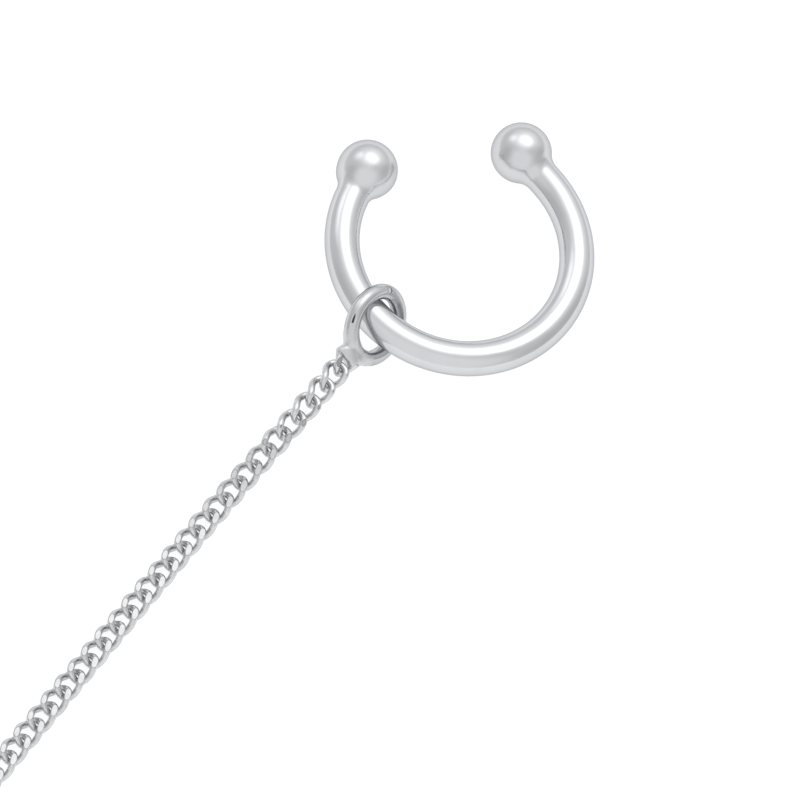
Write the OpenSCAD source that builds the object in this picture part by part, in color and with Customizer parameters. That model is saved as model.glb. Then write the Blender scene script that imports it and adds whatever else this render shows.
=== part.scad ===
// Ear chain earring: an open ear cuff with two ball ends, a hanger ring round its wire,
// a flat-cut curb chain, and the ear post at the chain's other end.
// Millimetres, +Z up. The origin is the middle of the cuff's ring, with the cuff's gap
// towards +Y. The earring lies on a surface at z = surface_z: the cuff rests on its right
// ball, on the low side of its wire and on the hanger ring, so it is tilted a little.

/* [Cuff] */
// Diameter of the cuff's wire
cuff_wire = 1.68; // [1.4:0.02:1.8]
// Radius of the cuff, to the middle of its wire
cuff_radius = 5.7; // [5:0.1:8]
// Diameter of the balls at the cuff's ends
ball_d = 2.94; // [2.6:0.02:3.6]
// Angle between the two balls, seen from the cuff's middle
ball_spread = 80.6; // [65:0.2:100]
// Straight wire between the curve and the left ball's neck
left_neck_length = 0; // [0:0.01:1.5]
// Straight wire between the curve and the right ball's neck
right_neck_length = 0.35; // [0:0.01:1.5]
// Radius of the fillet where a ball grows out of the wire
neck_fillet = 0.9; // [0.2:0.05:1.5]

/* [Hanger ring] */
// Diameter of the hanger ring's wire
ring_wire = 0.74; // [0.5:0.02:0.8]
// Radius of the hanger ring, to the middle of its wire
ring_radius = 1.655; // [1.63:0.005:2.2]
// Where the hanger ring sits round the cuff, in degrees from +X
ring_at = 216.1; // [205:0.1:235]
// Angle between the hanger ring and the surface that it leans over
ring_lean = 60.5; // [58:0.5:75]
// How far the chain has pulled the hanger ring off the middle of the cuff's wire
ring_pull_length = 0.25; // [0:0.01:0.3]
// How far the middle of the hanger ring lies above the middle of the cuff's wire
ring_rise_height = 0.05; // [0:0.01:0.08]
// Width of the solder along the hanger ring's wire
solder_foot = 1.5; // [1.1:0.05:1.8]
// How far the solder's foot sinks into the hanger ring's wire, all round
solder_sink = 0.06; // [0.04:0.01:0.12]
// Width of the solder in the near half of the link on the hanger ring
solder_width = 1.2; // [0.8:0.02:1.4]
// Thickness of the solder in that link
solder_thickness = 0.5; // [0.4:0.02:0.7]
// Gap between the solder and the first loose link
solder_gap = 0.12; // [0.08:0.01:0.3]

/* [Chain] */
// Distance from the middle of one link to the middle of the next
link_pitch = 1.055; // [1:0.005:1.2]
// Diameter of a link's wire
link_wire = 0.33; // [0.26:0.01:0.36]
// Width of a link, outside
link_width = 1.3; // [1.2:0.01:1.5]
// Play between two linked ends
link_play = 0.05; // [0.04:0.005:0.12]
// Twist of each end of a link, in degrees
link_twist = 38; // [34:1:46]
// How much sooner a link reaches its full twist than a plain wave would
twist_gain = 1.3; // [1:0.05:1.5]
// Height between a link's two flat cuts
link_height = 0.69; // [0.6:0.01:0.8]
// How much fuller a link is near its ends than a plain oval
link_fullness = 0.5; // [0:0.05:0.7]
// Direction in which the chain leaves the cuff, in degrees from +X
chain_heading = 223.1; // [215:0.1:232]
// Number of links over which the chain comes down to the surface
come_down = 12; // [8:1:14]
// How far the chain swings sideways as it comes down
swing_width = 0.56; // [0:0.02:0.8]
// Roll of the links that the hanger ring holds up, in degrees
first_roll = -38; // [-45:1:-25]
// Roll of the links that lie on the surface, in degrees
last_roll = 2; // [0:1:5]
// Number of links over which the roll goes from the one to the other
roll_links = 6; // [5:1:9]

/* [Ear post] */
// Diameter of the ear post's ball
stud_d = 3; // [2.4:0.1:4]
// Diameter of the post
post_d = 0.8; // [0.7:0.05:1]
// Length of the post beyond its ball
post_length = 10; // [8:0.5:12]

/* [Hidden] */
silver = [0.8, 0.81, 0.83];

// Number of loose links. The hanger ring and the ear post each carry one more, soldered on.
loose_links = 30;

// Cuff: radii, arms and the angles at which the curve ends
cuff_r = cuff_wire / 2;
ball_r = ball_d / 2;
neck_end = sqrt(pow(ball_r + neck_fillet, 2) - pow(cuff_r + neck_fillet, 2));
left_arm = neck_end + left_neck_length;
right_arm = neck_end + right_neck_length;
curve_from = 90 + ball_spread / 2 + atan2(left_arm, cuff_radius);
curve_to = 450 - ball_spread / 2 - atan2(right_arm, cuff_radius);

// Hanger ring: its middle's height over the surface while its rim rests on it, and how far
// the solder's middle plane reaches from the ring's wire towards the first loose link
ring_r = ring_wire / 2;
ring_height = ring_radius * sin(ring_lean) + ring_r;
solder_reach = link_pitch - link_wire / 2 - solder_gap - solder_thickness / 2;

// Rest of the cuff: heights of the right ball and of the wire inside the hanger ring, over
// the height of the lowest wire, give the direction of the low side and the tilt
right_ball = norm([cuff_radius, right_arm]) * dir(90 - ball_spread / 2);
ball_over = ball_r - cuff_r;
held_over = ring_height - ring_rise_height - cuff_r;
balance = ball_over * cuff_radius * dir(ring_at) - held_over * right_ball;
low_side = atan2(balance.y, balance.x) + acos(cuff_radius * (ball_over - held_over) / norm(balance));
tilt = asin(ball_over / (cuff_radius - right_ball * dir(low_side)));
surface_z = -cuff_r - cuff_radius * sin(tilt);

// Chain: half length and half width of a link's middle line, and the heights that it joins
link_r = link_wire / 2;
half_length = (link_pitch + link_wire + link_play) / 2;
half_width = (link_width - link_wire) / 2;
lying_height = link_height / 2 + link_width / 2 * sin(last_roll);
ahead = [cos(chain_heading), sin(chain_heading), 0];
beside = [sin(chain_heading), -cos(chain_heading), 0];
above = [0, 0, 1];
ring_middle_flat = tilted((cuff_radius + ring_pull_length) * dir(ring_at));
ring_middle = [ring_middle_flat.x, ring_middle_flat.y, surface_z + ring_height];
chain_start = ring_middle + (ring_radius + half_length) * ahead;
shares = [for (i = [1:loose_links + 1]) i > come_down ? 0 : sin(180 * (i - 0.5) / come_down)];
share_sum = sum(shares, len(shares) - 1);
steps = [
    for (w = shares / share_sum)
    let (fall = (ring_height - lying_height) * w, swing = swing_width * w)
    sqrt(pow(link_pitch, 2) - pow(fall, 2) - pow(swing, 2)) * ahead + swing * beside - fall * above
];
middles = [
    for (i = 0, p = chain_start; i <= loose_links + 1; p = i <= loose_links ? p + steps[i] : p, i = i + 1)
    p
];

// Links: points round the loop and sides of the wire
around = 16;
sides = 6;

// Ear post: its ball meets the last link's bar at the height of the chain
stud_r = stud_d / 2;
post_r = post_d / 2;
stud_reach = sqrt(stud_r * stud_r - pow(stud_r - lying_height, 2));
post_slope = asin((stud_r - post_r) / (stud_r + post_length));

function dir(a) = [cos(a), sin(a), 0];
function unit(v) = v / norm(v);
function sum(list, i) = i < 0 ? 0 : list[i] + sum(list, i - 1);
function smooth(x) = x <= 0 ? 0 : x >= 1 ? 1 : x * x * (3 - 2 * x);

// A point of the level cuff, after the cuff has tilted about its middle
function tilted(p) =
    let (axis = [-sin(low_side), cos(low_side), 0])
    p * cos(tilt) + cross(axis, p) * sin(tilt) + axis * (axis * p) * (1 - cos(tilt));

// Middle line of a link, twisted opposite ways at its two ends
function end_twist(s) = -link_twist * sin(90 * max(-1, min(1, twist_gain * cos(s))));
function mid(s) =
    let (y = half_width * sin(s) * (1 + link_fullness * pow(cos(s), 2)), t = end_twist(s))
    [half_length * cos(s), y * cos(t), y * sin(t)];

// Points of one wire section
function section(s) =
    let (
        t = end_twist(s),
        along = unit(mid(s + 1) - mid(s - 1)),
        out = unit(cross(along, [0, -sin(t), cos(t)])),
        up = cross(out, along),
        m = mid(s)
    )
    [for (q = [0:sides - 1]) m + link_r * (cos(360 * q / sides) * out + sin(360 * q / sides) * up)];

// Where a link heads and how it rolls: the loose links head between their two neighbours
function way(i) = i == 0 || i > loose_links ? ahead : steps[i - 1] + steps[i];
function roll(i) = first_roll + (last_roll - first_roll) * smooth((i - 1.5) / roll_links);

// One link of the chain, counted from the hanger ring, with its flat cuts above and below
module chain_link(i) {
    points = [
        for (k = [0:around - 1])
        for (p = section(360 * k / around))
        p
    ];
    faces = [
        for (k = [0:around - 1])
        for (q = [0:sides - 1])
        let (k2 = (k + 1) % around, q2 = (q + 1) % sides)
        for (f = [[k * sides + q, k2 * sides + q2, k2 * sides + q],
                  [k * sides + q, k * sides + q2, k2 * sides + q2]])
        f
    ];
    w = way(i);
    translate(middles[i])
        rotate([-roll(i), -atan2(-w.z, norm([w.x, w.y])), 180 + atan2(w.y, w.x)])
        intersection() {
            polyhedron(points = points, faces = faces, convexity = 4);
            cube([3 * half_length, 3 * half_width, link_height], center = true);
        }
}

// Ball end of the cuff: the ball at the origin, its neck and its arm up along Z. The arm's
// core runs on into the curved wire, so that the two are one piece.
module ball_end(arm) {
    core = cuff_r * 0.9;
    from = atan2(cuff_r + neck_fillet, neck_end);
    flare = [
        for (i = [0:8])
        let (a = 180 + from + (90 - from) * i / 8)
        [cuff_r + neck_fillet + neck_fillet * sin(a), neck_end + neck_fillet * cos(a)]
    ];
    sphere(r = ball_r, $fn = 96);
    rotate_extrude($fn = 64)
        polygon(concat(
            [[0, 0]], flare,
            [[cuff_r, arm], [core, arm], [core, arm + cuff_r / 3], [0, arm + cuff_r / 3]]
        ));
}

module ear_cuff() {
    color(silver)
    rotate(a = tilt, v = [-sin(low_side), cos(low_side), 0]) {
        rotate([0, 0, curve_from])
            rotate_extrude(angle = curve_to - curve_from, $fn = 120)
            translate([cuff_radius, 0])
            circle(r = cuff_r, $fn = 64);
        rotate([0, 0, curve_from])
            translate([cuff_radius, -left_arm, 0])
            rotate([-90, 0, 0])
            ball_end(left_arm);
        rotate([0, 0, curve_to])
            translate([cuff_radius, right_arm, 0])
            rotate([90, 0, 0])
            ball_end(right_arm);
    }
}

module hanger_ring() {
    foot_d = ring_wire - 2 * solder_sink;
    foot_x = (solder_foot - foot_d) / 2;
    web_x = (solder_width - solder_thickness) / 2;
    color(silver) {
        translate(ring_middle)
            rotate([0, 0, chain_heading - 90])
            rotate([0, -ring_lean, 0])
            rotate_extrude($fn = 96)
            translate([ring_radius, 0])
            circle(r = ring_r, $fn = 40);
        translate(ring_middle)
            rotate([0, 0, chain_heading - 90])
            hull()
            for (side = [-1, 1]) {
                rotate([0, -ring_lean, 0])
                    translate([side * foot_x, sqrt(pow(ring_radius, 2) - pow(foot_x, 2)), 0])
                    sphere(d = foot_d, $fn = 24);
                rotate([0, first_roll, 0])
                    translate([side * web_x, ring_radius + solder_reach, 0])
                    sphere(d = solder_thickness, $fn = 20);
            }
        chain_link(0);
    }
}

module ear_post() {
    color(silver) {
        translate(middles[loose_links + 1] + (half_length + stud_reach) * ahead
                  + (stud_r - lying_height) * above) {
            sphere(r = stud_r, $fn = 96);
            rotate([0, 0, chain_heading])
                rotate([0, 90 + post_slope, 0])
                cylinder(r = post_r, h = stud_r + post_length, $fn = 40);
        }
        chain_link(loose_links + 1);
    }
}

module link_01() color(silver) chain_link(1);
module link_02() color(silver) chain_link(2);
module link_03() color(silver) chain_link(3);
module link_04() color(silver) chain_link(4);
module link_05() color(silver) chain_link(5);
module link_06() color(silver) chain_link(6);
module link_07() color(silver) chain_link(7);
module link_08() color(silver) chain_link(8);
module link_09() color(silver) chain_link(9);
module link_10() color(silver) chain_link(10);
module link_11() color(silver) chain_link(11);
module link_12() color(silver) chain_link(12);
module link_13() color(silver) chain_link(13);
module link_14() color(silver) chain_link(14);
module link_15() color(silver) chain_link(15);
module link_16() color(silver) chain_link(16);
module link_17() color(silver) chain_link(17);
module link_18() color(silver) chain_link(18);
module link_19() color(silver) chain_link(19);
module link_20() color(silver) chain_link(20);
module link_21() color(silver) chain_link(21);
module link_22() color(silver) chain_link(22);
module link_23() color(silver) chain_link(23);
module link_24() color(silver) chain_link(24);
module link_25() color(silver) chain_link(25);
module link_26() color(silver) chain_link(26);
module link_27() color(silver) chain_link(27);
module link_28() color(silver) chain_link(28);
module link_29() color(silver) chain_link(29);
module link_30() color(silver) chain_link(30);

ear_cuff();
hanger_ring();
link_01();
link_02();
link_03();
link_04();
link_05();
link_06();
link_07();
link_08();
link_09();
link_10();
link_11();
link_12();
link_13();
link_14();
link_15();
link_16();
link_17();
link_18();
link_19();
link_20();
link_21();
link_22();
link_23();
link_24();
link_25();
link_26();
link_27();
link_28();
link_29();
link_30();
ear_post();
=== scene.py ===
from math import acos, asin, atan2, copysign, cos, hypot, pi, radians, sin, sqrt, tau
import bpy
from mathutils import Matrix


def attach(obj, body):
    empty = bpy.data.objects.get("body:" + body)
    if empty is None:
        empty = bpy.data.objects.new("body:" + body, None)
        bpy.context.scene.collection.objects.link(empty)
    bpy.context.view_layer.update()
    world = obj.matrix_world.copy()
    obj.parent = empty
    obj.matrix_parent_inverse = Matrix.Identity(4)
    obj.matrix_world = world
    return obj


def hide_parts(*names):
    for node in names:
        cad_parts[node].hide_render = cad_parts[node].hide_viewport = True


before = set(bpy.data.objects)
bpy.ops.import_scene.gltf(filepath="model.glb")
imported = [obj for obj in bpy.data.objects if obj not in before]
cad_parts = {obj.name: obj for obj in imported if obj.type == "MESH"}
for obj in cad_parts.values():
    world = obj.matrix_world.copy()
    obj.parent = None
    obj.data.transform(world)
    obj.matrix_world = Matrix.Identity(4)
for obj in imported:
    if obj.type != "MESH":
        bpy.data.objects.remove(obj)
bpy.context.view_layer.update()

from types import SimpleNamespace

import bmesh
import bpy
from bpy.props import FloatProperty, FloatVectorProperty, IntProperty, PointerProperty
from mathutils import Matrix, Vector

bl_info = {
    "name": "Ear Chain Earring",
    "version": (1, 0, 0),
    "blender": (4, 5, 0),
    "location": "3D View > Sidebar > Earring",
    "description": "Builds a silver ear cuff with its hanger ring, curb chain and ear stud",
    "category": "Add Mesh",
}

BODY = "root"

# Sides round each wire, and steps along it
CUFF_SIDES, CUFF_STEPS = 64, 150
NECK_STEPS, BALL_STEPS = 12, 32
BALL_TIP = 0.02  # radians of a ball left open for its tip
RING_SIDES, RING_STEPS = 72, 288
LINK_SIDES, LINK_STEPS = 18, 56
LINK_TANGENT = 0.02  # radians to each side for the direction of a link's wire
SOLDER_SIDES, COLLAR_STEPS = 32, 40
STUD_SIDES, STUD_STEPS, TIP_STEPS = 64, 40, 6

# The solder and the marks on the metal, in millimetres where nothing else is said
SOLDER_START = 0.2  # how far inside the ring's middle line the web starts
SOLDER_GRAIN = 0.03  # the grain at which its shapes are melted together
SOLDER_PASSES = 20  # and how often they are then smoothed
SOLDER_CORNERS = 0.72  # the lower, the fuller the corners of the web's section
SOLDER_TURN = 1.1  # how much sooner than its end the web has turned to its link's roll
SOLDER_PROFILE = (  # share of the way out, upper side, lower side, thickness
    (0.00, 1.24, 1.80, 1.62), (0.10, 1.18, 1.80, 1.63), (0.20, 1.08, 1.74, 1.64),
    (0.30, 1.02, 1.62, 1.64), (0.40, 1.02, 1.47, 1.70), (0.50, 1.06, 1.33, 1.74),
    (0.60, 1.12, 1.23, 1.72), (0.70, 1.17, 1.17, 1.64), (0.80, 1.21, 1.14, 1.48),
    (0.88, 1.23, 1.12, 1.36), (0.94, 1.21, 1.08, 1.16), (0.98, 1.12, 1.00, 0.90),
    (1.00, 1.00, 0.90, 0.60),
)
COLLAR_REACH = 52  # degrees round the ring, to each side
COLLAR_END = 0.02  # how far the collar's ends sink into the wire
TAKEN_IN = 0.3  # share of its half length at which the solder takes the ring's link in
MARK_REACH = 0.25  # how deep a mark works on the wire's shape
# The nick and the seam's crescent are darkened with painted shade, reaching this far out of the
# wire
SHADE_REACH = 0.3  # and on its colour
CRESCENT = 0.07  # width of the dark crescent at the seam
HAZE_REACH = 2.5  # how far from a ball's middle its polish is softer

# The stud's post, in millimetres or in shares of its radius
FOOT_RADIUS, NECK_RADIUS = 1.5, 1.14  # shares, where the post meets its ball
NECK_OUT, POST_OUT = 0.14, 0.32  # where it has narrowed to the neck, and to itself
TIP_ROUNDING = 0.25

# What metal reflects at its edges
EDGE_TINT = (0.60, 0.61, 0.63)
LINK_EDGE_TINT = (0.62, 0.63, 0.65)

# The camera, the floor, the lights and the sky
CAMERA_RIGHT = Vector((0.98035, -0.18458, 0.06957))
CAMERA_UP = Vector((0.13702, 0.89096, 0.43292))
FRAME_MIDDLE = (-2.846, -7.234)  # right of the cuff's middle and up, in millimetres
FLOOR_MIDDLE = (-0.01, -0.01)  # in metres
LIGHTS = (  # name, azimuth and elevation in degrees, distance and sides in metres, watts
    ("main_light", 50, 64, 0.5, (0.40, 0.28), 0.10),
    ("spot_light", 118, 44, 0.5, (0.14, 0.11), 0.008),
)
SKY_COLOUR = (0.99, 0.993, 1.0)
SKY_BRIGHTNESS = 0.79
SKY_ZONES = (  # azimuth, elevation, inner and outer angle in degrees, brightness added
    (52, 66, 4, 34, 0.50),
    (65, 60, 25, 52, 0.26),
    (33, 41, 0, 41, 0.13),
    (121, 42, 2, 20, 0.40),
    (189, 22, 2, 34, -0.13),
    (336, 11, 2, 34, -0.13),
    (251, 32, 28, 54, 0.22),
)


# Sizes and colours

def length(name, description, default):
    """A size in metres."""
    return FloatProperty(name=name, description=description, default=default, min=0.0,
                         precision=5, subtype="DISTANCE", unit="LENGTH")


def angle(name, description, degrees):
    """An angle, given in degrees and kept in radians."""
    return FloatProperty(name=name, description=description, default=radians(degrees),
                         subtype="ANGLE", unit="ROTATION")


def share(name, description, default, highest=1.0):
    """A plain number from nought up."""
    return FloatProperty(name=name, description=description, default=default, min=0.0,
                         max=highest, subtype="FACTOR")


def colour(name, description, default):
    """A colour in linear light."""
    return FloatVectorProperty(name=name, description=description, default=default, size=3,
                               min=0.0, max=1.0, subtype="COLOR")


class CuffSizes(bpy.types.PropertyGroup):
    """Sizes of the open cuff and its two balls."""
    wire: length("Wire", "Diameter of the cuff's wire", 0.00168)
    radius: length("Radius", "Radius of the cuff, to the middle of its wire", 0.0057)
    ball: length("Ball", "Diameter of the balls at the cuff's ends", 0.00294)
    spread: angle("Ball spread", "Angle between the two balls, seen from the cuff's middle", 80.6)
    left_neck: length("Left neck", "Straight wire before the left ball's neck", 0.0)
    right_neck: length("Right neck", "Straight wire before the right ball's neck", 0.00035)
    fillet: length("Neck fillet", "Radius of the fillet where a ball grows out of the wire", 0.0009)
    left_droop: length("Left droop", "How far the left ball sits in from the wire's end", 0.0001)


class RingSizes(bpy.types.PropertyGroup):
    """Sizes of the hanger ring and the solder on it."""
    wire: length("Wire", "Diameter of the hanger ring's wire", 0.00074)
    radius: length("Radius", "Radius of the hanger ring, to the middle of its wire", 0.001655)
    place: angle("Place", "Where the hanger ring sits round the cuff, from +X", 216.1)
    lean: angle("Lean", "Angle between the hanger ring and the surface that it leans over", 60.5)
    pull: length("Pull", "How far the chain has pulled the ring off the cuff's wire", 0.00025)
    rise: length("Rise", "How far the ring's middle lies above that of the cuff's wire", 0.00005)
    solder_width: length("Solder width", "Width of the solder inside the ring's link", 0.0012)
    solder_thickness: length("Solder thickness", "Thickness of the solder inside the link", 0.0005)
    solder_gap: length("Solder gap", "Gap between the solder and the first loose link", 0.00012)
    seam: angle("Seam", "Where the ring's wire is closed, round the ring", 308)
    seam_side: angle("Seam side", "Where the seam shows most, round the wire", 64)
    seam_length: length("Seam length", "Length of the seam's mark round the wire", 0.00044)
    seam_depth: length("Seam depth", "Depth of the seam's mark", 0.00002)
    nick: angle("Nick", "Where a dark nick marks the ring's wire, round the ring", 34)
    nick_side: angle("Nick side", "Where the nick lies, round the wire", 36)
    nick_length: length("Nick length", "Length of the nick along the wire", 0.00076)
    nick_width: length("Nick width", "Width of the nick", 0.0001)
    nick_depth: length("Nick depth", "Depth of the nick", 0.0001)
    collar: length("Collar", "How far the solder stands over the ring's wire", 0.00004)


class ChainSizes(bpy.types.PropertyGroup):
    """Sizes of the curb links and the way the chain lies."""
    pitch: length("Pitch", "Distance from the middle of one link to the next", 0.001055)
    wire: length("Wire", "Diameter of a link's wire", 0.00033)
    width: length("Width", "Width of a link, outside", 0.0013)
    play: length("Play", "Play between two linked ends", 0.00005)
    twist: angle("Twist", "Twist of each end of a link", 38)
    gain: share("Twist gain", "How much sooner a link reaches its full twist", 1.3, 2.0)
    height: length("Height", "Height between a link's two flat cuts", 0.00069)
    near_spared: length("Near spared", "How much less the upper cut takes near the ring", 0.0001)
    cut_tilt: angle("Cut tilt", "Tilt of the upper cut, which makes its left facets smaller", 2.5)
    # The cut edge's width is the width of a band of painted shade round each flat cut
    cut_edge_shade: length("Cut edge", "Width of the broken edge round a flat cut", 0.00002)
    fullness: share("Fullness", "How much fuller a link is near its ends than an oval", 0.5)
    heading: angle("Heading", "Direction in which the chain leaves the cuff, from +X", 223.1)
    come_down: IntProperty(name="Come down", description="Links over which the chain comes down",
                           default=12, min=4, max=20)
    swing: length("Swing", "How far the chain swings sideways as it comes down", 0.00056)
    first_roll: angle("First roll", "Roll of the links that the ring holds up", -38)
    last_roll: angle("Last roll", "Roll of the links that lie on the surface", 2)
    roll_links: IntProperty(name="Roll links", description="Links over which the roll changes",
                            default=6, min=2, max=12)
    loose: IntProperty(name="Loose links", description="Loose links, as many as the frame has",
                       default=30, min=30, max=30)


class StudSizes(bpy.types.PropertyGroup):
    """Sizes of the ear stud at the chain's other end."""
    ball: length("Ball", "Diameter of the stud's ball", 0.003)
    post: length("Post", "Diameter of the post", 0.0008)
    post_length: length("Post length", "Length of the post beyond its ball", 0.01)


class FinishChoices(bpy.types.PropertyGroup):
    """Colours and polish of the metal and the floor."""
    silver: colour("Silver", "Colour of the polished silver", (0.648, 0.656, 0.671))
    silver_shade: colour("Silver shade", "Colour of the silver where its polish is greyer",
                         (0.610, 0.618, 0.633))
    ring: colour("Ring", "Colour of the hanger ring, duller than the cuff", (0.620, 0.628, 0.641))
    links: colour("Links", "Colour of the links' round wire", (0.715, 0.721, 0.731))
    cut: colour("Flat cuts", "Colour of the links' bright flat cuts", (0.51, 0.513, 0.518))
    # Cut edges: painted shade, a dark colour that stands in for the dark reflection at each facet's
    # sharp edge
    cut_edge_shade: colour("Cut edges", "Colour of the broken edges round the flat cuts",
                     (0.15, 0.152, 0.156))
    # The nick's and the seam's dark colour is painted shade, standing in for the shade inside them
    painted_shade: colour("Dirt", "Colour of what sits in the nick and the seam", (0.09, 0.09, 0.095))
    solder: colour("Solder", "Colour of the solder", (0.63, 0.637, 0.648))
    floor: colour("Floor", "Colour of the floor", (0.18, 0.181, 0.182))
    glow: share("Glow", "How brightly the floor is lit from below, as a light table is", 0.88, 2.0)
    polish: share("Roughness", "Roughness of the polished metal", 0.14)
    ball_haze: share("Ball haze", "How much rougher the balls are than the wire", 0.085)


class StageChoices(bpy.types.PropertyGroup):
    """Camera and light of the stage."""
    frame_width: length("Frame width", "What the camera sees, from side to side", 0.03817)
    distance: length("Distance", "Distance of the camera", 0.6)
    floor_size: length("Floor size", "Side of the square floor", 2.4)


class Earring(bpy.types.PropertyGroup):
    """All the sizes and colours of the earring."""
    cuff: PointerProperty(name="Cuff", description="The open cuff", type=CuffSizes)
    ring: PointerProperty(name="Hanger ring", description="The ring on the cuff", type=RingSizes)
    chain: PointerProperty(name="Chain", description="The curb chain", type=ChainSizes)
    stud: PointerProperty(name="Stud", description="The ear stud", type=StudSizes)
    finish: PointerProperty(name="Finish", description="Colours and polish", type=FinishChoices)
    stage: PointerProperty(name="Stage", description="Camera and light", type=StageChoices)


# The way the earring lies. Everything from here to placed() is in millimetres.

def towards(a):
    """Unit vector in the level plane, at an angle from +X."""
    return Vector((cos(a), sin(a), 0.0))


def direction(azimuth, elevation):
    """Unit vector from an azimuth and an elevation in degrees."""
    rise = radians(elevation)
    return towards(radians(azimuth)) * cos(rise) + Vector((0, 0, sin(rise)))


def eased(x):
    """Nought to one with a soft start and end."""
    x = min(1.0, max(0.0, x))
    return x * x * (3 - 2 * x)


def cuff_numbers(e):
    """The cuff's radii and arms, the angles where its curve ends, and its tilt at rest."""
    c, r = e.cuff, e.ring
    n = SimpleNamespace()
    n.wire_r = c.wire * 500
    n.radius = c.radius * 1000
    n.ball_r = c.ball * 500
    n.fillet = c.fillet * 1000
    n.neck_end = sqrt((n.ball_r + n.fillet) ** 2 - (n.wire_r + n.fillet) ** 2)
    n.left_arm = n.neck_end + c.left_neck * 1000
    n.right_arm = n.neck_end + c.right_neck * 1000
    n.start = pi / 2 + c.spread / 2 + atan2(n.left_arm, n.radius)
    n.end = tau + pi / 2 - c.spread / 2 - atan2(n.right_arm, n.radius)
    n.ring_r = r.wire * 500
    n.ring_radius = r.radius * 1000
    n.ring_height = n.ring_radius * sin(r.lean) + n.ring_r
    right_ball = hypot(n.radius, n.right_arm) * towards(pi / 2 - c.spread / 2)
    ball_over = n.ball_r - n.wire_r
    held_over = n.ring_height - r.rise * 1000 - n.wire_r
    balance = ball_over * n.radius * towards(r.place) - held_over * right_ball
    n.low_side = (atan2(balance.y, balance.x)
                  + acos(n.radius * (ball_over - held_over) / balance.length))
    n.tilt = asin(ball_over / (n.radius - right_ball.dot(towards(n.low_side))))
    n.surface = -n.wire_r - n.radius * sin(n.tilt)
    n.leaning = Matrix.Rotation(n.tilt, 4, Vector((-sin(n.low_side), cos(n.low_side), 0)))
    return n


def chain_numbers(e):
    """Every link's middle, heading and roll, from the hanger ring to the stud."""
    n = cuff_numbers(e)
    r, ch = e.ring, e.chain
    n.pitch = ch.pitch * 1000
    n.link_r = ch.wire * 500
    n.half_length = (n.pitch + ch.wire * 1000 + ch.play * 1000) / 2
    n.half_width = (ch.width - ch.wire) * 500
    n.height = ch.height * 1000
    n.lying = n.height / 2 + ch.width * 500 * sin(ch.last_roll)
    n.ahead = towards(ch.heading)
    beside = Vector((sin(ch.heading), -cos(ch.heading), 0))
    above = Vector((0, 0, 1))
    flat = n.leaning @ ((n.radius + r.pull * 1000) * towards(r.place))
    n.ring_middle = Vector((flat.x, flat.y, n.surface + n.ring_height))
    weights = [0.0 if i > ch.come_down else sin(pi * (i - 0.5) / ch.come_down)
               for i in range(1, ch.loose + 2)]
    steps = []
    for weight in weights:
        fall = (n.ring_height - n.lying) * weight / sum(weights)
        swing = ch.swing * 1000 * weight / sum(weights)
        run = sqrt(n.pitch ** 2 - fall ** 2 - swing ** 2)
        steps.append(run * n.ahead + swing * beside - fall * above)
    n.middles = [n.ring_middle + (n.ring_radius + n.half_length) * n.ahead]
    for step in steps:
        n.middles.append(n.middles[-1] + step)
    n.ways = [n.ahead] + [a + b for a, b in zip(steps, steps[1:])] + [n.ahead]
    n.rolls = [ch.first_roll + (ch.last_roll - ch.first_roll) * eased((i - 1.5) / ch.roll_links)
               for i in range(ch.loose + 2)]
    return n


def link_place(n, i):
    """Where link i lies: its middle, heading, slope and roll."""
    way = n.ways[i]
    return (Matrix.Translation(n.middles[i])
            @ Matrix.Rotation(pi + atan2(way.y, way.x), 4, "Z")
            @ Matrix.Rotation(-atan2(-way.z, hypot(way.x, way.y)), 4, "Y")
            @ Matrix.Rotation(-n.rolls[i], 4, "X"))


def ring_place(e, n, lean):
    """Where the hanger ring's own frame lies, or the solder's at another lean."""
    return (Matrix.Translation(n.ring_middle)
            @ Matrix.Rotation(e.chain.heading - pi / 2, 4, "Z")
            @ Matrix.Rotation(-lean, 4, "Y"))


# Shapes

def across(radius):
    """Stands a section up on the X axis, across a ring of this radius about Z."""
    return Matrix.Translation((radius, 0, 0)) @ Matrix.Rotation(pi / 2, 4, "X")


def section(bm, place, radius, sides):
    """Draws one round section of wire and gives its edges."""
    made = bmesh.ops.create_circle(bm, segments=sides, radius=radius, matrix=place)["verts"]
    return list({edge for vert in made for edge in vert.link_edges})


def ends_of(loop):
    """The vertices of a loop of edges."""
    return list({vert for edge in loop for vert in edge.verts})


def bridged(bm, loops, closed):
    """Bridges each section to the next, and the last to the first if closed."""
    pairs = list(zip(loops, loops[1:]))
    if closed:
        pairs.append((loops[-1], loops[0]))
    for one, other in pairs:
        bmesh.ops.bridge_loops(bm, edges=one + other)


def closed_tube(bm, loops):
    """Bridges each section to the next and closes both ends."""
    bridged(bm, loops, closed=False)
    for loop in (loops[0], loops[-1]):
        bmesh.ops.contextual_create(bm, geom=loop)


def cut_away(bm, point, way):
    """Cuts off what lies past a plane, and gives the flat faces that close the cut."""
    cut = bmesh.ops.bisect_plane(bm, geom=bm.verts[:] + bm.edges[:] + bm.faces[:], dist=1e-5,
                                 plane_co=point, plane_no=way, clear_outer=True)
    rim = [g for g in cut["geom_cut"] if isinstance(g, bmesh.types.BMEdge)]
    return bmesh.ops.edgenet_fill(bm, edges=rim)["faces"]


def drawn_out(bm, loop, middle, stations):
    """Carries an open end on through stations of a middle and a radius, and closes its tip."""
    radius = (loop[0].verts[0].co - middle).length
    for new_middle, new_radius in stations:
        made = bmesh.ops.extrude_edge_only(bm, edges=loop)["geom"]
        verts = [g for g in made if isinstance(g, bmesh.types.BMVert)]
        for vert in verts:
            vert.co = new_middle + (vert.co - middle) * (new_radius / radius)
        loop = [g for g in made if isinstance(g, bmesh.types.BMEdge) and g.is_boundary]
        middle, radius = new_middle, new_radius
    bmesh.ops.pointmerge(bm, verts=verts, merge_co=middle)


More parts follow.
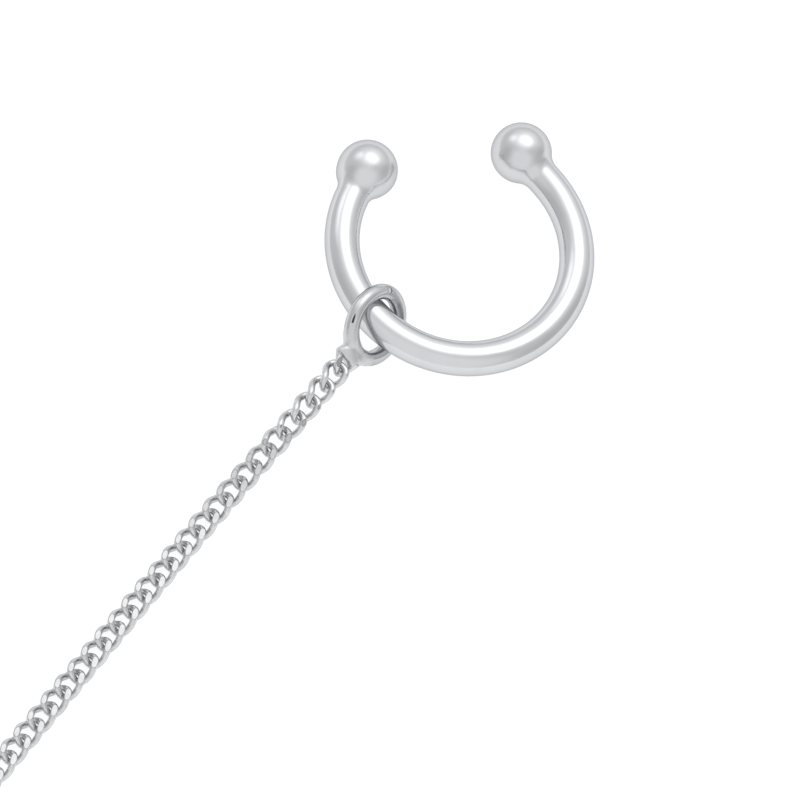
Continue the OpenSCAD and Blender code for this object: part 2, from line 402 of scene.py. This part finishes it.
def placed(bm, name, place, materials):
    """Turns a shape in millimetres into a piece in metres that rides on the body."""
    bmesh.ops.remove_doubles(bm, verts=bm.verts, dist=1e-4)
    bmesh.ops.recalc_face_normals(bm, faces=bm.faces)
    for face in bm.faces:
        face.smooth = True
    mesh = bpy.data.meshes.new(name)
    bm.to_mesh(mesh)
    bm.free()
    mesh.transform(Matrix.Scale(0.001, 4) @ place)
    for material in materials:
        mesh.materials.append(material)
    piece = bpy.data.objects.new(name, mesh)
    bpy.context.collection.objects.link(piece)
    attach(piece, BODY)
    return piece


def fused(bm, grain, passes):
    """Melts overlapping shapes into one, with soft hollows where they meet."""
    bmesh.ops.recalc_face_normals(bm, faces=bm.faces)
    mesh = bpy.data.meshes.new("lump")
    bm.to_mesh(mesh)
    bm.free()
    lump = bpy.data.objects.new("lump", mesh)
    bpy.context.collection.objects.link(lump)
    melt = lump.modifiers.new("melt", "REMESH")
    melt.mode = "VOXEL"
    melt.voxel_size = grain
    soften = lump.modifiers.new("soften", "SMOOTH")
    soften.iterations = passes
    made = bmesh.new()
    made.from_object(lump, bpy.context.evaluated_depsgraph_get())
    bpy.data.objects.remove(lump)
    bpy.data.meshes.remove(mesh)
    return made


def ball_stations(n, arm, droop):
    """Middles and radii from the curve's end through the neck and round the ball to its tip."""
    turn = atan2(n.wire_r + n.fillet, n.neck_end)
    profile = []
    if arm > n.neck_end + 1e-4:
        profile.append((n.neck_end, n.wire_r))
    for i in range(1, NECK_STEPS + 1):
        a = 1.5 * pi - (pi / 2 - turn) * i / NECK_STEPS
        profile.append((n.neck_end + n.fillet * cos(a), n.wire_r + n.fillet + n.fillet * sin(a)))
    for i in range(1, BALL_STEPS):
        a = turn + (pi - turn) * i / BALL_STEPS
        profile.append((n.ball_r * cos(a), n.ball_r * sin(a)))
    profile.append((-n.ball_r * cos(BALL_TIP), n.ball_r * sin(BALL_TIP)))
    return [(arm - along, radius, droop * eased((arm - along) / arm)) for along, radius in profile]


def cuff_shape(e):
    """The cuff's wire as one spun curve, with both balls drawn out of its ends."""
    n = cuff_numbers(e)
    bm = bmesh.new()
    start = Matrix.Rotation(n.start, 4, "Z") @ across(n.radius)
    loop = section(bm, start, n.wire_r, CUFF_SIDES)
    spun = bmesh.ops.spin(bm, geom=ends_of(loop) + loop, cent=(0, 0, 0), axis=(0, 0, 1),
                          angle=n.end - n.start, steps=CUFF_STEPS)
    last = [g for g in spun["geom_last"] if isinstance(g, bmesh.types.BMEdge)]
    for loop, a, way, arm, droop in ((loop, n.start, -1, n.left_arm, e.cuff.left_droop * 1000),
                                     (last, n.end, 1, n.right_arm, 0.0)):
        out = towards(a)
        along = way * Vector((-out.y, out.x, 0))
        middle = n.radius * out
        stations = [(middle + distance * along - shift * out, radius)
                    for distance, radius, shift in ball_stations(n, arm, droop)]
        drawn_out(bm, loop, middle, stations)
    return bm, n


def on_ring(n, around, side):
    """A place on the ring's wire: X along the wire, Y round it and Z out of it."""
    out = cos(side) * towards(around) + Vector((0, 0, sin(side)))
    along = Vector((-sin(around), cos(around), 0))
    place = Matrix((along, out.cross(along), out)).transposed().to_4x4()
    place.translation = n.ring_radius * towards(around) + n.ring_r * out
    return place


def ring_shape(e, n):
    """The hanger ring's wire, closed by a fine seam, with a small nick beside it."""
    r = e.ring
    bm = bmesh.new()
    loop = section(bm, across(n.ring_radius), n.ring_r, RING_SIDES)
    bmesh.ops.spin(bm, geom=ends_of(loop) + loop, cent=(0, 0, 0), axis=(0, 0, 1), angle=tau,
                   steps=RING_STEPS, use_merge=True)
    marks = (
        (on_ring(n, r.nick, r.nick_side).inverted(),
         r.nick_length * 500, r.nick_width * 500, r.nick_depth * 1000),
        (on_ring(n, r.seam, r.seam_side).inverted(),
         r.seam_length * 500, r.seam_length * 500, r.seam_depth * 1000),
    )
    for vert in bm.verts:
        middle = n.ring_radius * towards(atan2(vert.co.y, vert.co.x))
        sunk = 0.0
        for into, half_along, half_round, depth in marks:
            at = into @ vert.co
            off = (at.x / half_along) ** 2 + (at.y / half_round) ** 2 + (at.z / MARK_REACH) ** 2
            sunk = max(sunk, depth * max(0.0, 1 - off))
        vert.co = middle + (vert.co - middle) * (1 - sunk / n.ring_r)
    return bm


def blunted(x):
    """Pushes a round section's coordinate out, so that its corners grow fuller."""
    return copysign(abs(x) ** SOLDER_CORNERS, x)


def solder_shape(e, n):
    """The solder: a web that grows out of the ring's wire and fills half of its link."""
    r, ch = e.ring, e.chain
    half = r.solder_width * 500
    thick = r.solder_thickness * 500
    tip = n.ring_radius + n.pitch - n.link_r - r.solder_gap * 1000
    root = n.ring_radius - SOLDER_START
    bm = bmesh.new()
    loops = []
    for out, upper, lower, depth in SOLDER_PROFILE:
        loop = section(bm, Matrix.Identity(4), 1.0, SOLDER_SIDES)
        lean = r.lean + (-ch.first_roll - r.lean) * eased(out * SOLDER_TURN)
        turned = Matrix.Rotation(-lean, 4, "Y")
        for vert in ends_of(loop):
            side = upper if vert.co.x > 0 else lower
            flat = Vector((blunted(vert.co.x) * half * side, root + (tip - root) * out,
                           blunted(vert.co.y) * thick * depth))
            vert.co = turned @ flat
        loops.append(loop)
    closed_tube(bm, loops)
    loops = []
    for i in range(COLLAR_STEPS + 1):
        at = 2 * i / COLLAR_STEPS - 1
        around = pi / 2 + at * radians(COLLAR_REACH)
        radius = n.ring_r + r.collar * 1000 * (1 - at ** 2) - COLLAR_END * at ** 4
        place = Matrix.Rotation(-r.lean, 4, "Y") @ Matrix.Rotation(around, 4, "Z")
        loops.append(section(bm, place @ across(n.ring_radius), radius, SOLDER_SIDES))
    closed_tube(bm, loops)
    return fused(bm, SOLDER_GRAIN, SOLDER_PASSES)


def link_line(n, ch, s):
    """Middle line of a link and its twist at an angle round the loop."""
    twist = -ch.twist * sin(pi / 2 * max(-1.0, min(1.0, ch.gain * cos(s))))
    y = n.half_width * sin(s) * (1 + ch.fullness * cos(s) ** 2)
    return Vector((n.half_length * cos(s), y * cos(twist), y * sin(twist))), twist


def link_shape(e, n, i):
    """Link i of the curb chain: a twisted loop of wire, cut flat above and below.

    The ring's own link, number nought, ends where the solder takes it in.
    """
    ch = e.chain
    lying = eased((i - 1.5) / ch.roll_links)
    spared = ch.near_spared * 1000 * (1 - lying) if i else 0.0
    bm = bmesh.new()
    loops = []
    for step in range(LINK_STEPS):
        s = tau * step / LINK_STEPS
        middle, twist = link_line(n, ch, s)
        before, after = (link_line(n, ch, s + way * LINK_TANGENT)[0] for way in (-1, 1))
        along = (after - before).normalized()
        out = along.cross(Vector((0, -sin(twist), cos(twist)))).normalized()
        up = out.cross(along)
        place = Matrix((out, up, -along)).transposed().to_4x4()
        place.translation = middle
        loops.append(section(bm, place, n.link_r, LINK_SIDES))
    bridged(bm, loops, closed=True)
    for height, way in ((n.height / 2 + spared, (0, -sin(ch.cut_tilt), cos(ch.cut_tilt))),
                        (-n.height / 2, (0, 0, -1))):
        flats = cut_away(bm, (0, 0, height), way)
        for face in flats:
            face.material_index = 1
        # An inset band round each flat carries the cut edge finish, which is painted shade along
        # the facet's edge
        made = bmesh.ops.inset_individual(bm, faces=flats, thickness=ch.cut_edge_shade * 1000,
                                          use_even_offset=True)
        for face in made["faces"]:
            face.material_index = 2
        for edge in {edge for face in flats + made["faces"] for edge in face.edges}:
            edge.smooth = False
    if i == 0:
        cut_away(bm, (TAKEN_IN * n.half_length, 0, 0), (1, 0, 0))
    return bm


def stud_shape(e):
    """The stud: a profile of ball, fillet and post, spun about the post's own line."""
    ball_r = e.stud.ball * 500
    post_r = e.stud.post * 500
    end = ball_r + e.stud.post_length * 1000
    turn = asin(post_r * FOOT_RADIUS / ball_r)
    points = [(-ball_r * cos(a), ball_r * sin(a))
              for a in ((pi - turn) * i / STUD_STEPS for i in range(1, STUD_STEPS + 1))]
    foot = points[-1][0]
    points += [(foot + NECK_OUT, post_r * NECK_RADIUS), (foot + POST_OUT, post_r)]
    x, y = end - TIP_ROUNDING, post_r - TIP_ROUNDING
    points += [(x + TIP_ROUNDING * sin(a), y + TIP_ROUNDING * cos(a))
               for a in (pi / 2 * i / TIP_STEPS for i in range(TIP_STEPS + 1))]
    points.append((end, 0))
    bm = bmesh.new()
    tail = bm.verts.new((-ball_r, 0, 0))
    for x, y in points:
        tail = bmesh.ops.extrude_vert_indiv(bm, verts=[tail])["verts"][0]
        tail.co = (x, y, 0)
    bmesh.ops.spin(bm, geom=bm.verts[:] + bm.edges[:], cent=(0, 0, 0), axis=(1, 0, 0), angle=tau,
                   steps=STUD_SIDES, use_merge=True)
    return bm


# Finishes

def nodes_of(name):
    """A fresh material with its tree and its shader."""
    material = bpy.data.materials.new(name)
    material.use_nodes = True
    tree = material.node_tree
    shader = tree.nodes["Principled BSDF"]
    return material, tree, shader


def metal(name, edge_tint=(1, 1, 1)):
    """A fresh metal with the tint that its edges reflect: its tree and its shader."""
    _, tree, shader = nodes_of(name)
    shader.inputs["Metallic"].default_value = 1.0
    shader.inputs["Specular Tint"].default_value = (*edge_tint, 1)
    return tree, shader


def noise(tree, scale, stretch=(1, 1, 1), **settings):
    """A noise read in object coordinates, with its pattern stretched."""
    coords = tree.nodes.new("ShaderNodeTexCoord")
    mapping = tree.nodes.new("ShaderNodeMapping")
    mapping.inputs["Scale"].default_value = stretch
    node = tree.nodes.new("ShaderNodeTexNoise")
    node.inputs["Scale"].default_value = scale
    for key, value in settings.items():
        node.inputs[key].default_value = value
    tree.links.new(coords.outputs["Object"], mapping.inputs["Vector"])
    tree.links.new(mapping.outputs["Vector"], node.inputs["Vector"])
    return node.outputs["Fac"]


def spread(tree, source, lowest, highest, start=0.3, end=0.7):
    """Maps a pattern's middle values onto a chosen span."""
    node = tree.nodes.new("ShaderNodeMapRange")
    node.inputs["From Min"].default_value = start
    node.inputs["From Max"].default_value = end
    node.inputs["To Min"].default_value = lowest
    node.inputs["To Max"].default_value = highest
    tree.links.new(source, node.inputs["Value"])
    return node.outputs["Result"]


def blended(tree, factor, one, other):
    """Mixes two colours, or an earlier mix and a colour, by a pattern."""
    node = tree.nodes.new("ShaderNodeMix")
    node.data_type = "RGBA"
    if isinstance(one, bpy.types.NodeSocket):
        tree.links.new(one, node.inputs[6])
    else:
        node.inputs[6].default_value = (*one, 1)
    node.inputs[7].default_value = (*other, 1)
    tree.links.new(factor, node.inputs[0])
    return node.outputs[2]


def mottled(tree, pattern, colour, shade):
    """A colour that a pattern takes to a share of itself."""
    return blended(tree, spread(tree, pattern, 0, 1), colour, [shade * part for part in colour])


def raised(tree, height, strength, depth, under=None):
    """Bump from a pattern, over another one if given."""
    node = tree.nodes.new("ShaderNodeBump")
    node.inputs["Strength"].default_value = strength
    node.inputs["Distance"].default_value = depth
    tree.links.new(height, node.inputs["Height"])
    if under:
        tree.links.new(under, node.inputs["Normal"])
    return node.outputs["Normal"]


def spot(tree, place, size):
    """A soft-edged spot: one inside an egg of this place and these half sizes in millimetres."""
    coords = tree.nodes.new("ShaderNodeTexCoord")
    mapping = tree.nodes.new("ShaderNodeMapping")
    mapping.vector_type = "TEXTURE"
    mapping.inputs["Location"].default_value = place.translation / 1000
    mapping.inputs["Rotation"].default_value = place.to_euler()
    mapping.inputs["Scale"].default_value = Vector(size) / 1000
    far = tree.nodes.new("ShaderNodeVectorMath")
    far.operation = "LENGTH"
    tree.links.new(coords.outputs["Object"], mapping.inputs["Vector"])
    tree.links.new(mapping.outputs["Vector"], far.inputs[0])
    return spread(tree, far.outputs["Value"], 1.0, 0.0, 0.75, 1.0)


def plus(tree, one, other):
    """The sum of two patterns, or of a pattern and a number."""
    node = tree.nodes.new("ShaderNodeMath")
    tree.links.new(one, node.inputs[0])
    if isinstance(other, (int, float)):
        node.inputs[1].default_value = other
    else:
        tree.links.new(other, node.inputs[1])
    return node.outputs[0]


def polished(e):
    """Hand-polished silver: gentle waves, fine rubbing marks, and balls with a softer polish."""
    finish = e.finish
    n = cuff_numbers(e)
    tree, shader = metal("polished_silver", EDGE_TINT)
    cloud = spread(tree, noise(tree, 420, Detail=3, Roughness=0.5), 0, 1)
    tree.links.new(blended(tree, cloud, finish.silver, finish.silver_shade),
                   shader.inputs["Base Color"])
    wear = noise(tree, 2600, Detail=6, Roughness=0.6)
    rough = spread(tree, wear, finish.polish * 0.75, finish.polish * 1.35)
    for way, arm in ((1, n.left_arm), (-1, n.right_arm)):
        ball = hypot(n.radius, arm) * towards(pi / 2 + way * e.cuff.spread / 2)
        near = spot(tree, Matrix.Translation(n.leaning @ ball), (HAZE_REACH,) * 3)
        rough = plus(tree, rough, spread(tree, near, 0.0, finish.ball_haze, 0.0, 1.0))
    tree.links.new(rough, shader.inputs["Roughness"])
    waves = noise(tree, 380, Detail=1.5, Roughness=0.4)
    rubbing = noise(tree, 2200, (1, 14, 6), Detail=4, Roughness=0.6)
    soft = raised(tree, waves, strength=0.6, depth=0.00009)
    tree.links.new(raised(tree, rubbing, strength=0.06, depth=0.000004, under=soft),
                   shader.inputs["Normal"])


def ring_silver(e):
    """The hanger ring: duller and wavier than the cuff, with painted shade that darkens its nick
    and a crescent at its seam.
    """
    finish, r = e.finish, e.ring
    n = chain_numbers(e)
    tree, shader = metal("ring_silver", EDGE_TINT)
    tone = mottled(tree, noise(tree, 1300, Detail=4, Roughness=0.6), finish.ring, 0.84)
    place = ring_place(e, n, r.lean)
    nick = spot(tree, place @ on_ring(n, r.nick, r.nick_side),
                (r.nick_length * 500, r.nick_width * 500, SHADE_REACH))
    at = place @ on_ring(n, r.seam, r.seam_side)
    half = r.seam_length * 500
    moon = tree.nodes.new("ShaderNodeMath")
    moon.operation = "SUBTRACT"
    moon.use_clamp = True
    for i, shift in enumerate((0, CRESCENT)):
        round_spot = spot(tree, at @ Matrix.Translation((shift, 0, 0)), (half, half, SHADE_REACH))
        tree.links.new(round_spot, moon.inputs[i])
    # Painted shade: the nick and the crescent at the seam are darkened to a near-black colour
    tone = blended(tree, nick, tone, finish.painted_shade)
    tone = blended(tree, moon.outputs[0], tone, finish.painted_shade)
    tree.links.new(tone, shader.inputs["Base Color"])
    wear = noise(tree, 2600, Detail=6, Roughness=0.6)
    tree.links.new(spread(tree, wear, 0.12, 0.22), shader.inputs["Roughness"])
    waves = noise(tree, 900, Detail=2.5, Roughness=0.5)
    tree.links.new(raised(tree, waves, strength=0.5, depth=0.00003), shader.inputs["Normal"])


def chain_silver(finish):
    """The links' drawn wire: small and mottled, less polished between its flat cuts."""
    tree, shader = metal("chain_silver", LINK_EDGE_TINT)
    cloud = noise(tree, 3200, Detail=4, Roughness=0.6)
    tree.links.new(mottled(tree, cloud, finish.links, 0.78), shader.inputs["Base Color"])
    wear = noise(tree, 5200, Detail=4)
    tree.links.new(spread(tree, wear, 0.16, 0.30), shader.inputs["Roughness"])
    waves = noise(tree, 4200, Detail=3, Roughness=0.55)
    tree.links.new(raised(tree, waves, strength=0.5, depth=0.000012), shader.inputs["Normal"])


def cut_edge_shade(finish):
    """The band round a flat cut: painted shade, a dark colour that stands in for the dark
    reflection at the facet's sharp edge, made rough by the burr that the cutter leaves.
    """
    tree, shader = metal("cut_edge_shade_silver")
    burr = noise(tree, 6000, Detail=3)
    tree.links.new(mottled(tree, burr, finish.cut_edge_shade, 1.35), shader.inputs["Base Color"])
    tree.links.new(spread(tree, burr, 0.25, 0.4), shader.inputs["Roughness"])
    tree.links.new(raised(tree, burr, strength=0.3, depth=0.000005), shader.inputs["Normal"])


def flat_cut(finish):
    """The links' cut flats: bright, with the fine lines that the cutter leaves."""
    tree, shader = metal("flat_cut_silver")
    cloud = noise(tree, 4200, Detail=2)
    tree.links.new(mottled(tree, cloud, finish.cut, 0.88), shader.inputs["Base Color"])
    lines = noise(tree, 3000, (1, 16, 1), Detail=3)
    tree.links.new(spread(tree, lines, 0.16, 0.26), shader.inputs["Roughness"])
    tree.links.new(raised(tree, lines, strength=0.08, depth=0.000004), shader.inputs["Normal"])


def soldered(finish):
    """Solder: duller and lumpier than the polished wire."""
    tree, shader = metal("solder")
    cloud = noise(tree, 1500, Detail=5, Roughness=0.6)
    tree.links.new(mottled(tree, cloud, finish.solder, 0.88), shader.inputs["Base Color"])
    tree.links.new(spread(tree, cloud, 0.28, 0.42), shader.inputs["Roughness"])
    lumps = noise(tree, 1100, Detail=3, Roughness=0.55)
    tree.links.new(raised(tree, lumps, strength=0.5, depth=0.00008), shader.inputs["Normal"])


def pale_floor(finish):
    """A pale matt floor with a barely seen grain, lit from below as a light table is."""
    material, tree, shader = nodes_of("pale_floor")
    shader.inputs["Roughness"].default_value = 0.75
    grain = noise(tree, 500, Detail=4)
    tree.links.new(mottled(tree, grain, finish.floor, 0.985), shader.inputs["Base Color"])
    shader.inputs["Emission Color"].default_value = (1, 1, 1, 1)
    shader.inputs["Emission Strength"].default_value = finish.glow
    return material


def finishes(e):
    """The metal's finishes, made once and shared."""
    made = bpy.data.materials
    if "polished_silver" not in made:
        polished(e)
        ring_silver(e)
        soldered(e.finish)
        chain_silver(e.finish)
        flat_cut(e.finish)
        cut_edge_shade(e.finish)
    links = [made[name] for name in ("chain_silver", "flat_cut_silver", "cut_edge_shade_silver")]
    return SimpleNamespace(cuff=[made["polished_silver"]], ring=[made["ring_silver"]],
                           solder=[made["solder"]], link=links)


# Operators

class EARRING_OT_cuff(bpy.types.Operator):
    """Build the cuff"""
    bl_idname = "earring.cuff"
    bl_label = "Cuff"

    def execute(self, context):
        e = context.scene.earring
        bm, n = cuff_shape(e)
        piece = placed(bm, "cuff", n.leaning, finishes(e).cuff)
        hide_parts("ear_cuff")
        return {"FINISHED"}


class EARRING_OT_hanger(bpy.types.Operator):
    """Build the hanger ring with its solder and its link"""
    bl_idname = "earring.hanger"
    bl_label = "Hanger ring"

    def execute(self, context):
        e = context.scene.earring
        n = chain_numbers(e)
        made = finishes(e)
        for piece in (
            placed(ring_shape(e, n), "hanger_loop", ring_place(e, n, e.ring.lean), made.ring),
            placed(solder_shape(e, n), "hanger_solder", ring_place(e, n, 0), made.solder),
            placed(link_shape(e, n, 0), "hanger_link", link_place(n, 0), made.link),
        ):
            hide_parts("hanger_ring")
        return {"FINISHED"}


class EARRING_OT_chain(bpy.types.Operator):
    """Build the loose links of the chain"""
    bl_idname = "earring.chain"
    bl_label = "Chain"

    def execute(self, context):
        e = context.scene.earring
        n = chain_numbers(e)
        made = finishes(e)
        for i in range(1, e.chain.loose + 1):
            piece = placed(link_shape(e, n, i), f"curb_link_{i:02d}", link_place(n, i), made.link)
            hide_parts(f"link_{i:02d}")
        return {"FINISHED"}


class EARRING_OT_stud(bpy.types.Operator):
    """Build the ear stud with its link"""
    bl_idname = "earring.stud"
    bl_label = "Ear stud"

    def execute(self, context):
        e = context.scene.earring
        n = chain_numbers(e)
        made = finishes(e)
        last = e.chain.loose + 1
        ball_r = e.stud.ball * 500
        post_r = e.stud.post * 500
        reach = sqrt(ball_r ** 2 - (ball_r - n.lying) ** 2)
        middle = n.middles[last] + (n.half_length + reach) * n.ahead
        middle.z += ball_r - n.lying
        slope = asin((ball_r - post_r) / (ball_r + e.stud.post_length * 1000))
        place = (Matrix.Translation(middle) @ Matrix.Rotation(e.chain.heading, 4, "Z")
                 @ Matrix.Rotation(slope, 4, "Y"))
        for piece in (
            placed(stud_shape(e), "ear_stud", place, made.cuff),
            placed(link_shape(e, n, last), "stud_link", link_place(n, last), made.link),
        ):
            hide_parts("ear_post")
        return {"FINISHED"}


def softbox(name, azimuth, elevation, distance, sides, power):
    """An oblong light that looks at the cuff's middle."""
    data = bpy.data.lights.new(name, "AREA")
    data.shape = "RECTANGLE"
    data.size, data.size_y = sides
    data.energy = power
    lamp = bpy.data.objects.new(name, data)
    way = direction(azimuth, elevation)
    turned = way.to_track_quat("Z", "Y").to_matrix().to_4x4()
    lamp.matrix_world = Matrix.Translation(distance * way) @ turned
    bpy.context.collection.objects.link(lamp)


def zone(tree, azimuth, elevation, inner, outer, amount):
    """What a soft round zone of the sky adds: all of it inside one angle, nothing past another."""
    coords = tree.nodes.new("ShaderNodeTexCoord")
    node = tree.nodes.new("ShaderNodeVectorMath")
    node.operation = "DOT_PRODUCT"
    node.inputs[1].default_value = direction(azimuth, elevation)
    tree.links.new(coords.outputs["Generated"], node.inputs[0])
    fade = tree.nodes.new("ShaderNodeMapRange")
    fade.interpolation_type = "SMOOTHSTEP"
    fade.inputs["From Min"].default_value = cos(radians(outer))
    fade.inputs["From Max"].default_value = cos(radians(inner))
    fade.inputs["To Max"].default_value = amount
    tree.links.new(node.outputs["Value"], fade.inputs["Value"])
    return fade.outputs["Result"]


class EARRING_OT_stage(bpy.types.Operator):
    """Build the floor, the light and the camera"""
    bl_idname = "earring.stage"
    bl_label = "Stage"

    def execute(self, context):
        e = context.scene.earring
        n = chain_numbers(e)
        bm = bmesh.new()
        bmesh.ops.create_grid(bm, x_segments=1, y_segments=1, size=e.stage.floor_size / 2)
        bmesh.ops.translate(bm, verts=bm.verts, vec=(*FLOOR_MIDDLE, n.surface / 1000))
        mesh = bpy.data.meshes.new("floor")
        bm.to_mesh(mesh)
        bm.free()
        mesh.materials.append(pale_floor(e.finish))
        floor = bpy.data.objects.new("floor", mesh)
        context.collection.objects.link(floor)

        viewer = CAMERA_RIGHT.cross(CAMERA_UP).normalized()
        target = (FRAME_MIDDLE[0] * CAMERA_RIGHT + FRAME_MIDDLE[1] * CAMERA_UP) / 1000
        data = bpy.data.cameras.new("camera")
        data.sensor_width = 36
        data.lens = data.sensor_width * e.stage.distance / e.stage.frame_width
        data.clip_start = 0.01
        data.clip_end = 10
        camera = bpy.data.objects.new("camera", data)
        turned = Matrix((CAMERA_RIGHT, CAMERA_UP, viewer)).transposed().to_4x4()
        camera.matrix_world = Matrix.Translation(target + e.stage.distance * viewer) @ turned
        context.collection.objects.link(camera)
        context.scene.camera = camera

        world = bpy.data.worlds.new("studio")
        world.use_nodes = True
        context.scene.world = world
        tree = world.node_tree
        backdrop = tree.nodes["Background"]
        backdrop.inputs["Color"].default_value = (*SKY_COLOUR, 1)
        total = SKY_BRIGHTNESS
        for soft in SKY_ZONES:
            total = plus(tree, zone(tree, *soft), total)
        tree.links.new(total, backdrop.inputs["Strength"])

        for light in LIGHTS:
            softbox(*light)
        context.scene.view_settings.view_transform = "Standard"
        return {"FINISHED"}


class EARRING_PT_panel(bpy.types.Panel):
    """Lists the earring's pieces and sizes"""
    bl_idname = "EARRING_PT_panel"
    bl_label = "Earring"
    bl_space_type = "VIEW_3D"
    bl_region_type = "UI"
    bl_category = "Earring"

    def draw(self, context):
        e = context.scene.earring
        for title, group, operator in (("Cuff", e.cuff, "earring.cuff"),
                                       ("Hanger ring", e.ring, "earring.hanger"),
                                       ("Chain", e.chain, "earring.chain"),
                                       ("Ear stud", e.stud, "earring.stud"),
                                       ("Stage", e.stage, "earring.stage"),
                                       ("Finish", e.finish, None)):
            box = self.layout.box()
            box.label(text=title)
            for key in group.__annotations__:
                box.prop(group, key)
            if operator:
                box.operator(operator)


CLASSES = (
    CuffSizes, RingSizes, ChainSizes, StudSizes, FinishChoices, StageChoices, Earring,
    EARRING_OT_cuff, EARRING_OT_hanger, EARRING_OT_chain, EARRING_OT_stud, EARRING_OT_stage,
    EARRING_PT_panel,
)


def register():
    """Registers the classes and the scene's settings."""
    for cls in CLASSES:
        bpy.utils.register_class(cls)
    bpy.types.Scene.earring = PointerProperty(name="Earring", description="The earring's sizes",
                                              type=Earring)


def unregister():
    """Takes the classes and the settings out again."""
    del bpy.types.Scene.earring
    for cls in reversed(CLASSES):
        bpy.utils.unregister_class(cls)


def main():
    """Builds the earring piece by piece, then the stage."""
    register()
    bpy.ops.earring.cuff()
    bpy.ops.earring.hanger()
    bpy.ops.earring.chain()
    bpy.ops.earring.stud()
    bpy.ops.earring.stage()


if __name__ == "__main__":
    main()
